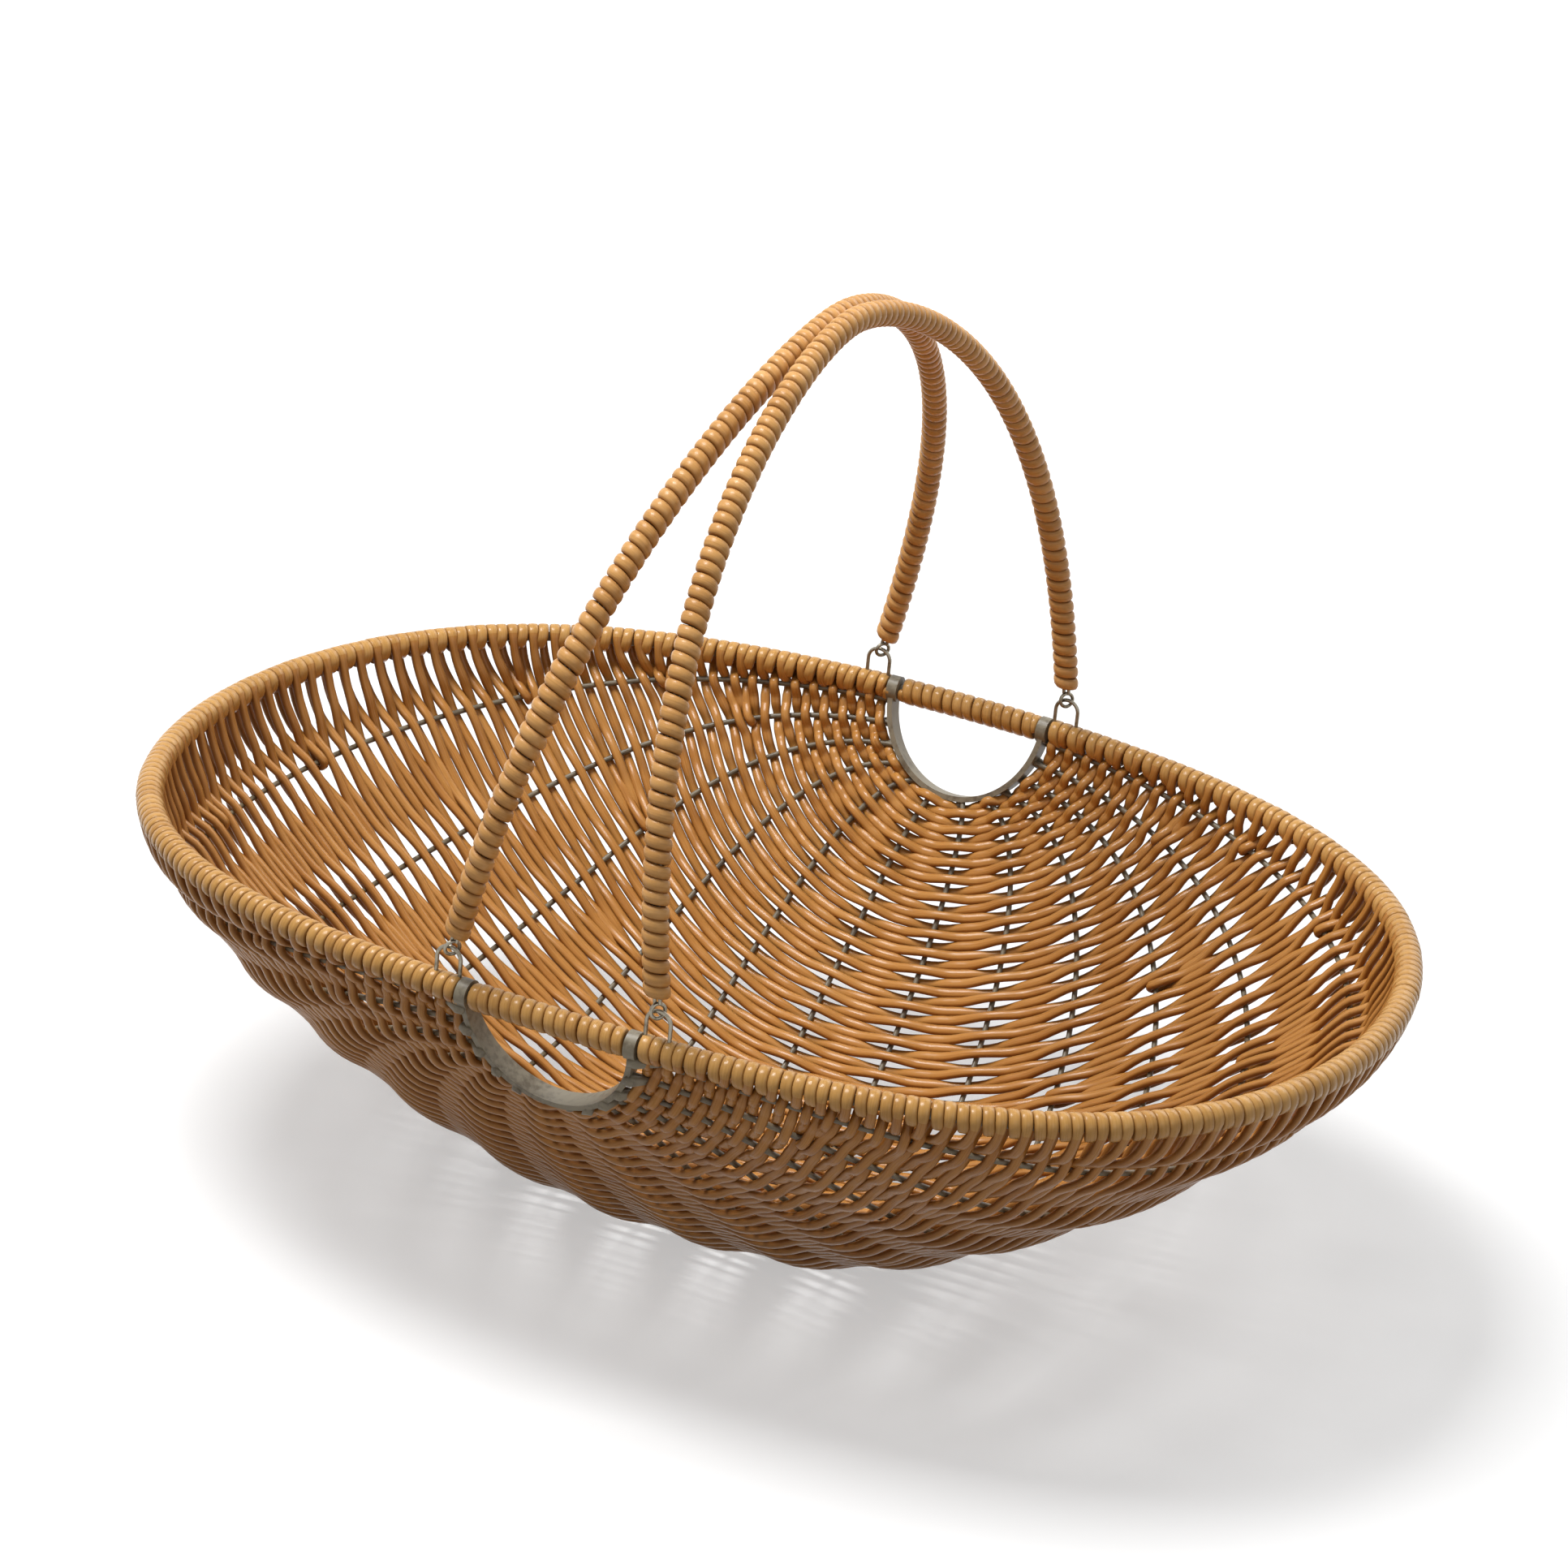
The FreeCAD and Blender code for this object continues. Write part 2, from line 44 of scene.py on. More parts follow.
# ---- the basket's lines, as the CAD model has them ----
RIM_HALF_LENGTH = 225.0
RIM_HALF_WIDTH = 163.0
RIM_FULLNESS = 0.060
RIM_HEIGHT = 131.0
RIM_SAG = 5.0
DEE_HALF_WIDTH = 31.0
DEE_DROP = 32.6
DEE_INSET = 9.5
BOWL_DEPTH = 153.0
BOWL_ROUNDING = 0.19
BOWL_POWER = 1.44
FLOOR_DEPTH = 127.4
FLOOR_BLEND = 6.0
DEE_BLEND_POWER = 6.0
RIB_COUNT = 12
FOOT_X = 38.7
HINGE_Z = RIM_HEIGHT + 9.8
HANDLE_LENGTH = 191.0
WRAP_START = 8.8
LEG_REACH = 0.755
CROWN_REACH = 41.0
HANDLES = {"left": (-1, 12.1, 5.5), "right": (1, 8.6, -3.0)}    # side, lean, crown's shift

# ---- strand ----
STRAND_HALF_WIDTH = 1.94      # between two ribs
CROSSING_HALF_WIDTH = 1.74    # turned a little on edge where it passes a rib
EXIT_HALF_WIDTH = 1.60        # and where it leaves the rim
STRAND_HALF_HEIGHT = 1.38
WOUND_HALF_WIDTH = 2.03       # pressed a little wider on the rim
RIM_WIND = 3.58               # hoop's centreline to the strand's, on the rim
RIB_WIND = 2.30               # a rib's centreline to the strand's
RING = 12                     # points round a strand
SPAN_SAMPLES = 11             # between two ribs
RIM_STEP = 20                 # degrees of winding for each sample
END_CAP = ((0.55, 0.85), (0.90, 0.50))  # reach and size of the rings that round off an end
STRAND_UV_GAP = 137.0         # from one strand's end to the next one's start in the UV map

# ---- outlines of the strand: power 2 is an ellipse, a higher one is a flatter band ----
ROUND_POWER = 2.0
WEAVE_POWER = 2.4
RIM_POWER_MORE = 1.0          # added on the rim
END_POWER_MORE = 3.8          # and added to that at the rim's two ends
ENDS_FROM, ENDS_OVER = 170.0, 45.0      # these begin at one X and have full effect so much further
BAR_POWER = 2.9
HANDLE_POWER = 2.35

# ---- rows of the weave ----
BULGE = 0.25                  # how far packed strands stand out between ribs, of their sag
PACKED = 0.58                 # share of the swing over which strands lie packed side by side
RIM_PACKED = 0.30             # the same next to the rim, where they cross near the first rib
RIM_DELAY = 1.9               # above 1, they cross nearer to that rib
STEEP = 0.60                  # below 1, they leave it steeply
FULL_ROWS = 104
TIGHT_ROWS, TIGHT_WEIGHT = 10, 0.88     # rows packed tighter beside the openings
TURN_WEIGHT = 0.32            # room of a short row at the rib that it turns on
NEXT_WEIGHT = 0.80            # at the next rib
BESIDE_WEIGHT = 0.86          # and of the rows beside it where it turns
PUSH_FROM = 0.62              # share of a span after which these rows are pushed aside
ROW_END = 3.3                 # strip's middle to the first row's edge
RIM_ROW_END = 2.4             # the same along the rim
RIM_EXIT = 0.55               # middle of a turn on the rim to either row, of the room for one
RIM_SLACK = 1.015             # the windings lie a little loose on it
PLACE_SPREAD, RIM_PLACE_SPREAD = 0.15, 0.09     # random shift of a row, along a rib and the rim
LIFT_SPREAD, RIM_LIFT_SPREAD = 0.08, 0.05       # and of its distance from them

# Short pairs of rows: full pair that they follow, counted from an opening, and rib they turn on
SHORT_RIGHT = ((7, 11), (10, 12), (13, 10), (15, 12), (17, 9),
               (19, 11), (21, 8), (23, 12), (25, 10))
SHORT_LEFT = ((6, 2), (9, 1), (12, 3), (14, 1), (16, 4), (18, 2), (20, 5), (22, 1), (24, 3))

# ---- turn on the rim: degrees of winding, and shift along the rim in rooms for a row ----
TURN_END = 540
TURN_ANGLES = np.array([0, 90, 180, 270, 360, 450, TURN_END])
TURN_SHIFTS = np.array([-0.54, -0.50, -0.42, 0, 0.42, 0.50, 0.54])

# ---- beads at the ribs' ends, from the strip along the rib ----
BEAD_V = np.array([1.0, 0.995, 0.985, 0.97])
BEAD_LIFT = np.array([3.7, 3.4, 2.1, 0.4])      # outwards from the rib
BEAD_HOOK = 1.2                                 # its first point, back over the strip's edge
BEAD_RADIUS = np.array([1.2, 1.9, 2.1, 1.7, 1.2])

# ---- windings of the bars above the openings and of the handles ----
WINDING_TUCK = 0.7            # how far a winding's last half turns go in
BAR_HALF_LENGTH = 28.7
BAR_PITCH = 4.1
BAR_WIND = 3.52               # centreline to the strand's
HANDLE_PITCH = 4.42
HANDLE_WIND = 3.14
HANDLE_END = 2.2              # end of the handle's core to the first winding's middle
HANDLE_STRAND_HALF_WIDTH = 2.18
HANDLE_STRAND_HALF_HEIGHT = 1.46
HANDLE_STEP = 20.0            # degrees of winding for each sample
DOUBLED_MIDDLE, DOUBLED_HALF = 87.5, 18.5       # stretch of the left handle's front leg
DOUBLED_MORE, DOUBLED_RAMP = 0.5, 1.5           # that is thicker, as if wound twice


# ------------------------------------------------------------- the shape ----

def rim_xy(angle):
    cosine = np.cos(angle)
    widening = 1 + 4 * RIM_FULLNESS * cosine ** 2
    return RIM_HALF_LENGTH * cosine, RIM_HALF_WIDTH * np.sin(angle) * widening


def rim_z(angle):
    return RIM_HEIGHT - RIM_SAG * np.cos(angle) ** 2


def rim_point(angle):
    x, y = rim_xy(angle)
    return np.stack([x, y, rim_z(angle) + 0 * x], -1)


DEE_ANGLE = math.acos(DEE_HALF_WIDTH / RIM_HALF_LENGTH)
DEE_Y = float(rim_xy(DEE_ANGLE)[1])
FOOT_Y = float(rim_xy(math.acos(FOOT_X / RIM_HALF_LENGTH))[1])


def bowl_z(x, y):
    u, v = x / RIM_HALF_LENGTH, y / RIM_HALF_WIDTH
    angle = np.arctan2(v, u)
    for _ in range(8):
        widening = 1 + 4 * RIM_FULLNESS * np.cos(angle) ** 2
        angle = np.arctan2(v / widening, u)
    share = np.minimum(np.hypot(u, v / widening), 1.0)
    full = math.hypot(1, BOWL_ROUNDING) - BOWL_ROUNDING
    rounded = (np.hypot(share, BOWL_ROUNDING) - BOWL_ROUNDING) / full
    top = rim_z(angle)
    free = top - (BOWL_DEPTH + top - RIM_HEIGHT) * np.maximum(1 - rounded, 0) ** (1 / BOWL_POWER)
    floor = RIM_HEIGHT - FLOOR_DEPTH
    return free + FLOOR_BLEND * np.logaddexp(0, (floor - free) / FLOOR_BLEND)


def surface(u, v):
    """Middle of the weave: u = -1 and 1 are the rim's two ends, v = -1 and 1 the openings."""
    u, v = np.broadcast_arrays(np.asarray(u, float), np.asarray(v, float))
    turn = u * math.pi / 2
    edge_x = DEE_HALF_WIDTH * np.sin(turn)
    edge_y = DEE_Y - DEE_INSET * np.cos(turn)
    edge_z = RIM_HEIGHT - DEE_DROP * np.cos(turn)
    rim_x, rim_y = rim_xy(np.abs(v) * DEE_ANGLE)
    outward = (rim_x - DEE_HALF_WIDTH) / (RIM_HALF_LENGTH - DEE_HALF_WIDTH)
    x = edge_x + (RIM_HALF_LENGTH * u - edge_x) * outward
    y = edge_y * rim_y / DEE_Y
    z = bowl_z(x, y) + (edge_z - bowl_z(edge_x, edge_y)) * np.abs(v) ** DEE_BLEND_POWER
    return np.stack([x, np.copysign(y, v), z], -1)


def unit(vectors):
    return vectors / np.maximum(np.linalg.norm(vectors, axis=-1, keepdims=True), 1e-12)


def travelled(points):
    """Distance along a line of points, from its first."""
    steps = np.linalg.norm(np.diff(points, axis=0), axis=1)
    return np.concatenate([[0], np.cumsum(steps)])


def outward_normal(u, v, step=2e-3):
    across = surface(np.minimum(u + step, 1), v) - surface(np.maximum(u - step, -1), v)
    along = surface(u, np.minimum(v + step, 1)) - surface(u, np.maximum(v - step, -1))
    return unit(np.cross(along, across))


class Line:
    """A line of the bowl at one u, measured along itself from the front opening."""

    def __init__(self, u):
        self.u = u
        self.v = np.linspace(-1, 1, 1601)
        self.travel = travelled(surface(u, self.v))
        self.length = float(self.travel[-1])

    def v_at(self, distance):
        return np.interp(distance, self.travel, self.v)


def rib_share(number):
    return (2 * number - RIB_COUNT - 1) / RIB_COUNT


STATIONS = [-1.0] + [rib_share(n) for n in range(1, RIB_COUNT + 1)] + [1.0]
LINES = [Line(u) for u in STATIONS]
LAST = RIB_COUNT + 1          # station of the right rim; 0 is the left one


# --------------------------------------------------------------- meshes ----

def smoothed(points, passes=1):
    for _ in range(passes):
        inner = points[1:-1] * 0.5 + (points[:-2] + points[2:]) * 0.25
        points = np.concatenate([points[:1], inner, points[-1:]])
    return points


def superellipse(count, power):
    """Corners of rounded outlines, from an ellipse at power 2 to a flat-topped band."""
    angle = np.arange(count) * 2 * math.pi / count
    c, s = np.cos(angle), np.sin(angle)
    share = 2 / power[:, None]
    return np.sign(c) * np.abs(c) ** share, np.sign(s) * np.abs(s) ** share


def strand_rings(points, ups, half_width, half_height, power):
    """Rings of a strand along the points, flat side towards ups, with rounded ends."""
    tangent = unit(np.gradient(points, axis=0))
    side = unit(np.cross(tangent, ups))
    up = np.cross(side, tangent)
    flips = np.sign(np.sum(up[1:] * up[:-1], axis=1))
    flips[flips == 0] = 1
    sign = np.concatenate([[1], np.cumprod(flips)])[:, None]
    side, up = side * sign, up * sign
    n = len(points)
    wide = np.broadcast_to(half_width, n).astype(float)
    high = np.broadcast_to(half_height, n).astype(float)
    power = np.pad(np.broadcast_to(power, n).astype(float), 2, mode="edge")
    along = travelled(points)
    for end in (0, -1):
        out = tangent[end] * (-1 if end == 0 else 1)
        cap = END_CAP[::-1] if end == 0 else END_CAP
        more = np.array([points[end] + out * high[end] * reach for reach, _ in cap])
        scale = np.array([share for _, share in cap])
        parts = [(more, points), (scale * wide[end], wide), (scale * high[end], high)]
        copies = [(np.repeat(a[end][None], 2, 0), a) for a in (side, up)]
        lengths = (np.full(2, along[end]), along)
        order = 1 if end == 0 else -1
        points, wide, high = (np.concatenate(p[::order]) for p in parts)
        side, up = (np.concatenate(p[::order]) for p in copies)
        along = np.concatenate(lengths[::order])
    c, s = superellipse(RING, power)
    rings = (points[:, None] + side[:, None] * (wide[:, None] * c)[..., None]
             + up[:, None] * (high[:, None] * s)[..., None])
    return rings, along


def strand_mesh(name, strands, material, second=None, where=None):
    """One mesh from strands, each (rings, distance along); UV map: along in mm, and around.
    where says which rings of a single strand take the second material."""
    verts, faces, uvs = [], [], []
    start, first = 0, 0.0
    for rings, along in strands:
        n, m = rings.shape[:2]
        verts.append(rings.reshape(-1, 3))
        i, j = np.meshgrid(np.arange(n - 1), np.arange(m), indexing="ij")
        i, j = i.ravel(), j.ravel()
        k = (j + 1) % m
        corners = np.stack([i * m + j, i * m + k, (i + 1) * m + k, (i + 1) * m + j], 1)
        faces += (start + corners).tolist()
        a0, a1 = along[i] + first, along[i + 1] + first
        quad = np.stack([a0, j / m, a0, (j + 1) / m, a1, (j + 1) / m, a1, j / m], 1)
        uvs.append(quad.ravel())
        for row, order in ((0, -1), (n - 1, 1)):
            faces.append((start + row * m + np.arange(m)[::order]).tolist())
            cap = np.stack([np.full(m, along[row] + first), np.full(m, 0.5)], 1)
            uvs.append(cap.ravel())
        start += n * m
        first += float(along[-1]) + STRAND_UV_GAP
    mesh = bpy.data.meshes.new(name)
    mesh.from_pydata((np.concatenate(verts) * MM).tolist(), [], faces)
    layer = mesh.uv_layers.new(name="strand")
    layer.data.foreach_set("uv", np.concatenate(uvs).astype(np.float32))
    mesh.polygons.foreach_set("use_smooth", np.ones(len(mesh.polygons), bool))
    mesh.update()
    mesh.materials.append(material)
    if second:
        mesh.materials.append(second)
        rings = len(strands[0][1])
        index = np.repeat(np.asarray(where)[:rings - 1], RING).astype(np.int32)
        mesh.polygons.foreach_set("material_index", np.concatenate([index, [0, 0]]))
    piece = bpy.data.objects.new(name, mesh)
    bpy.context.scene.collection.objects.link(piece)
    return piece


# ------------------------------------------------------------ materials ----

class Nodes:
    """Short names for building the node tree of a material or the world."""

    def __init__(self, owner):
        self.owner = owner
        owner.use_nodes = True
        self.tree = owner.node_tree
        self.tree.nodes.clear()

    def add(self, kind, inputs=None, **settings):
        node = self.tree.nodes.new(kind)
        for key, value in settings.items():
            setattr(node, key, value)
        for key, value in (inputs or {}).items():
            if isinstance(value, bpy.types.NodeSocket):
                self.tree.links.new(value, node.inputs[key])
            else:
                node.inputs[key].default_value = value
        return node

    def math(self, operation, *values):
        return self.add("ShaderNodeMath", dict(enumerate(values)), operation=operation).outputs[0]

    def mixed_shader(self, factor, a, b):
        return self.add("ShaderNodeMixShader", {0: factor, 1: a, 2: b}).outputs[0]

    def seen_directly(self):
        """1 for what the camera sees, also through or in another thing, and 0 for other light."""
        seen = self.add("ShaderNodeLightPath").outputs
        either = self.math("MAXIMUM", seen["Is Camera Ray"], seen["Is Glossy Ray"])
        return self.math("MAXIMUM", either, seen["Is Transmission Ray"])

    def ramp(self, value, *stops):
        node = self.add("ShaderNodeValToRGB", {0: value})
        ramp = node.color_ramp
        while len(ramp.elements) < len(stops):
            ramp.elements.new(0.5)
        for element, (position, colour) in zip(ramp.elements, stops):
            element.position = position
            element.color = (*colour, 1)
        return node.outputs[0]

    def mix(self, factor, a, b, blend="MIX"):
        node = self.add("ShaderNodeMix", {0: factor}, data_type="RGBA", blend_type=blend)
        for index, value in ((6, a), (7, b)):
            if isinstance(value, bpy.types.NodeSocket):
                self.tree.links.new(value, node.inputs[index])
            else:
                node.inputs[index].default_value = (*value, 1)
        return node.outputs[2]


def synthetic_strand(name, light, middle, dark, roughness=0.27):
    """Satin plastic strand: slow tone changes along it, fine lengthwise grain, and painted shade on
    its edges, where the grooves between strands lie.
    """
    n = Nodes(bpy.data.materials.new(name))
    uv = n.add("ShaderNodeUVMap", uv_map="strand").outputs[0]
    parts = n.add("ShaderNodeSeparateXYZ", {0: uv})
    along, around = parts.outputs[0], parts.outputs[1]
    slow = n.add("ShaderNodeCombineXYZ", {0: n.math("MULTIPLY", along, 0.011)}).outputs[0]
    slow = n.add("ShaderNodeTexNoise", {"Vector": slow, "Scale": 1.0, "Detail": 3.0}).outputs[0]
    place = n.add("ShaderNodeTexCoord").outputs["Object"]
    patch = n.add("ShaderNodeTexNoise", {"Vector": place, "Scale": 16.0, "Detail": 2.0}).outputs[0]
    turn = n.math("MULTIPLY", around, 2 * math.pi)
    grain_at = n.add("ShaderNodeCombineXYZ", {
        0: n.math("MULTIPLY", along, 0.06),
        1: n.math("MULTIPLY", n.math("COSINE", turn), 3.2),
        2: n.math("MULTIPLY", n.math("SINE", turn), 3.2)}).outputs[0]
    grain = n.add("ShaderNodeTexNoise", {"Vector": grain_at, "Scale": 1.0, "Detail": 4.0,
                                         "Roughness": 0.62}).outputs[0]
    tone = n.math("ADD", n.math("MULTIPLY", slow, 0.60), n.math("MULTIPLY", grain, 0.40))
    colour = n.ramp(tone, (0.30, dark), (0.50, middle), (0.70, light))
    warm = n.ramp(patch, (0.35, (0.90, 0.88, 0.84)), (0.65, (1.0, 1.0, 1.0)))
    colour = n.mix(0.8, colour, warm, "MULTIPLY")
    # Painted shade: the strand's edges are darkened towards the grooves between strands; the same
    # mask also raises the roughness there.
    side = n.math("POWER", n.math("ABSOLUTE", n.math("COSINE", turn)), 3.0)
    painted_groove_shade = n.math("MULTIPLY", side, 0.75)
    colour = n.mix(painted_groove_shade, colour, (0.42, 0.34, 0.26), "MULTIPLY")
    rough = n.math("ADD", n.math("MULTIPLY", grain, 0.22), roughness - 0.11)
    rough = n.math("ADD", rough, n.math("MULTIPLY", side, 0.30))
    bump = n.add("ShaderNodeBump", {"Strength": 0.35, "Distance": 0.0002,
                                    "Height": grain}).outputs[0]
    shader = n.add("ShaderNodeBsdfPrincipled", {"Base Color": colour, "Roughness": rough,
                                                "Normal": bump, "Specular IOR Level": 0.24,
                                                "Coat Weight": 0.08, "Coat Roughness": 0.10})
    n.add("ShaderNodeOutputMaterial", {0: shader.outputs[0]})
    return n.owner


def painted_wire(name, base, worn, metallic=0.0, roughness=0.45, scale=420.0):
    """Painted or bare wire with a little unevenness and wear."""
    n = Nodes(bpy.data.materials.new(name))
    place = n.add("ShaderNodeTexCoord").outputs["Object"]
    fine = n.add("ShaderNodeTexNoise", {"Vector": place, "Scale": scale, "Detail": 4.0}).outputs[0]
    broad = n.add("ShaderNodeTexNoise", {"Vector": place, "Scale": scale * 0.14,
                                         "Detail": 2.0}).outputs[0]
    both = n.math("ADD", n.math("MULTIPLY", fine, 0.5), n.math("MULTIPLY", broad, 0.5))
    colour = n.ramp(both, (0.38, worn), (0.52, base), (0.75, tuple(c * 1.18 for c in base)))
    rough = n.math("ADD", n.math("MULTIPLY", fine, 0.3), roughness - 0.15)
    bump = n.add("ShaderNodeBump", {"Strength": 0.3, "Distance": 0.0003, "Height": fine}).outputs[0]
    shader = n.add("ShaderNodeBsdfPrincipled", {"Base Color": colour, "Roughness": rough,
                                                "Normal": bump, "Metallic": metallic})
    n.add("ShaderNodeOutputMaterial", {0: shader.outputs[0]})
    return n.owner


# Colours from light to dark
WEAVE_STRAND = synthetic_strand("woven_strand", (0.64, 0.320, 0.092), (0.54, 0.243, 0.054),
                                (0.39, 0.146, 0.024))
# The woven strand where it winds on the rim and the bars above the openings, painted lighter and
# more golden: partly the strand's colour, partly painted light on top.
WOUND_STRAND_PAINTED_LIGHT = synthetic_strand("wound_strand_painted_light", (0.72, 0.41, 0.140), (0.62, 0.33, 0.092),
                                (0.45, 0.207, 0.048))
HANDLE_STRAND = synthetic_strand("handle_strand", (0.84, 0.48, 0.190), (0.72, 0.375, 0.118),
                                 (0.50, 0.225, 0.060), 0.34)
FRAME_PAINT = painted_wire("frame_paint", (0.25, 0.215, 0.15), (0.13, 0.10, 0.062))
# The frame's greige paint, made darker on the ribs as painted shade, where they lie between the
# strands.
RIB_PAINT_SHADED = painted_wire("rib_paint_shaded", (0.19, 0.155, 0.10), (0.10, 0.075, 0.045))
HINGE_WIRE = painted_wire("hinge_wire", (0.31, 0.28, 0.22), (0.16, 0.13, 0.09), 0.85, 0.36, 700.0)


# ------------------------------------------------------------- the rows ----

class Row:
    """One row of the weave: the stations it reaches and its place on each, in mm from the front."""

    def __init__(self, parity, first, last):
        self.parity = parity
        self.first = first
        self.last = last
        self.place = {}
        self.pushed = {}      # how far a turn of a short pair pushes the row aside at its rib

    def turns_at(self, station):
        return 0 < station < LAST and station in (self.first, self.last)

    def outside(self, station):
        """1 where the row passes outside the rib, -1 where it passes inside."""
        return 1 if (self.parity + station) % 2 == 0 else -1


def half_and_half(shorts, offset):
    """Row after which each short pair comes, for both halves of the basket."""
    found = [(2 * pair + offset, rib) for pair, rib in shorts]
    return found + [(FULL_ROWS - 2 - row, rib) for row, rib in found]


def make_rows():
    """The rows in the order in which the one strand makes them."""
    full = [Row(k % 2, 0, LAST) for k in range(FULL_ROWS)]
    right = {row - row % 2: rib for row, rib in half_and_half(SHORT_RIGHT, 0)}
    left = {row - 1 + row % 2: rib for row, rib in half_and_half(SHORT_LEFT, 1)}
    chain, order_left, order_right = [], [], []
    for k, row in enumerate(full):
        chain.append(row)
        order_left.append(row)
        order_right.append(row)
        if k in right:
            pair = [Row(1, right[k], LAST), Row(0, right[k], LAST)]
            chain += pair
            order_right += pair
        if k in left:
            pair = [Row(0, 0, left[k]), Row(1, 0, left[k])]
            chain += pair
            order_left += pair
    for station, line in enumerate(LINES):
        order = order_left if station <= RIB_COUNT // 2 else order_right
        present = [row for row in order if row.first <= station <= row.last]
        rim = station in (0, LAST)
        room = np.array([row_weight(row, station) for row in present])
        if not rim:
            room[:TIGHT_ROWS] *= TIGHT_WEIGHT
            room[-TIGHT_ROWS:] *= TIGHT_WEIGHT
        for n, row in enumerate(present):
            for step in (-2, -1, 1, 2):
                other = present[n + step] if 0 <= n + step < len(present) else row
                if row.turns_at(station) or not other.turns_at(station):
                    continue
                push = -math.copysign(TURN_WEIGHT, step)
                if abs(step) == 1:
                    room[n] = BESIDE_WEIGHT
                    row.pushed[station] = push
                else:
                    row.pushed.setdefault(station, push * 0.5)
        end = RIM_ROW_END if rim else ROW_END
        room *= (line.length - 2 * end) / room.sum()
        middles = end + np.cumsum(room) - room / 2
        for n, row in enumerate(present):
            spread = RIM_PLACE_SPREAD if rim else PLACE_SPREAD
            row.place[station] = middles[n] + rng.normal(0, spread)
            row.pushed[station] = row.pushed.get(station, 0.0) * room.mean()
    return chain


def row_weight(row, station):
    """Share of the usual room that a row takes at a station."""
    if 0 < row.first or row.last < LAST:
        apart = station - row.first if row.first > 0 else row.last - station
        if 0 < station < LAST and apart < 2:
            return (TURN_WEIGHT, NEXT_WEIGHT)[apart]
    return 1.0


def rim_frames(side, distance, step=1e-3, inwards=0.045):
    """Centre, direction down into the weave and outward normal on the rim."""
    line = LINES[LAST if side > 0 else 0]
    v = line.v_at(distance)
    centre = surface(side, v)
    ahead = surface(side, np.minimum(v + step, 1)) - surface(side, np.maximum(v - step, -1))
    tangent = unit(ahead)
    down = surface(side * (1 - inwards), v) - centre
    down = unit(down - tangent * np.sum(down * tangent, -1, keepdims=True))
    normal = np.cross(tangent, down) * side
    normal = normal * np.sign(normal[..., :1] * side + 1e-9 * side)
    return centre, down, unit(normal)


def rim_turn(side, middle, pitch, start, end):
    """The strand round the rim, from inside the weave to outside it: two windings."""
    spin = np.arange(start, end + 1, RIM_STEP, dtype=float)
    shift = np.interp(spin, TURN_ANGLES, TURN_SHIFTS)
    spin = TURN_END - spin
    shift = np.convolve(np.pad(shift, 2, mode="edge"), np.ones(5) / 5, "valid")
    centre, down, normal = rim_frames(side, middle + shift * pitch)
    spin = np.radians(spin)[:, None]
    radial = normal * np.cos(spin) - down * np.sin(spin)
    radius = RIM_WIND * RIM_SLACK + rng.normal(0, RIM_LIFT_SPREAD)
    return centre + radial * radius, radial


def hermite(xs, ys, x):
    """Smooth curve through the points."""
    slopes = np.gradient(ys, xs)
    k = np.clip(np.searchsorted(xs, x, side="right") - 1, 0, len(xs) - 2)
    h = xs[k + 1] - xs[k]
    t = (x - xs[k]) / h
    return (ys[k] * (1 + 2 * t) * (1 - t) ** 2 + slopes[k] * h * t * (1 - t) ** 2
            + ys[k + 1] * t * t * (3 - 2 * t) + slopes[k + 1] * h * t * t * (t - 1))


